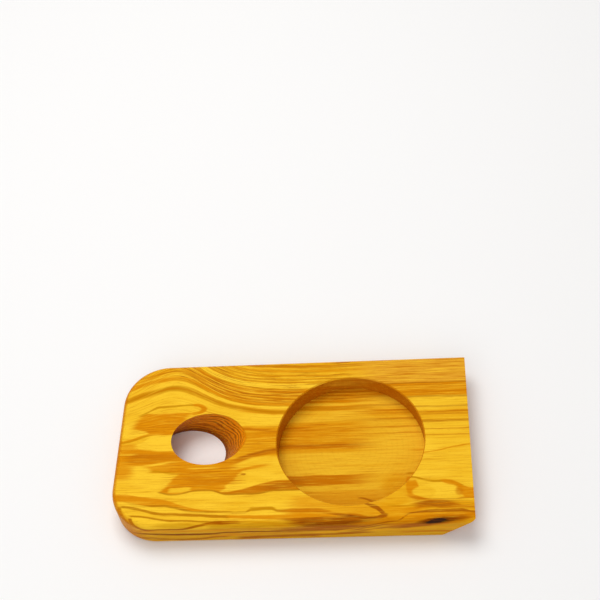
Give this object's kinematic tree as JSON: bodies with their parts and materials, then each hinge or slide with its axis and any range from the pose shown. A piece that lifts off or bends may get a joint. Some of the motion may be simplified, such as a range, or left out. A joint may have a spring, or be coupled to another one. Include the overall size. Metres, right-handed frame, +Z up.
{
  "type": "wine bottle coaster",
  "caption": "Thick wooden board with a round bottle recess, a slanted neck hole and one slanted end; lies flat as a coaster or stands on that end as a balancing bottle holder.",
  "frame": {"origin": "middle of the bounding box on the underside, the face that rests on the table", "axes": "+X along the grain towards the slanted end, +Z up out of the recess, -Y the front edge with the filled bark pocket"},
  "size_m": [0.207, 0.111, 0.0185],
  "materials": {
    "olive_wood": "oiled and hand-sanded, satin",
    "dark_fill": "hard dark filling, sanded flush, satin"
  },
  "bodies": {
    "root": {"board": "olive_wood", "knot_fill": "dark_fill"}
  },
  "joints": []
}
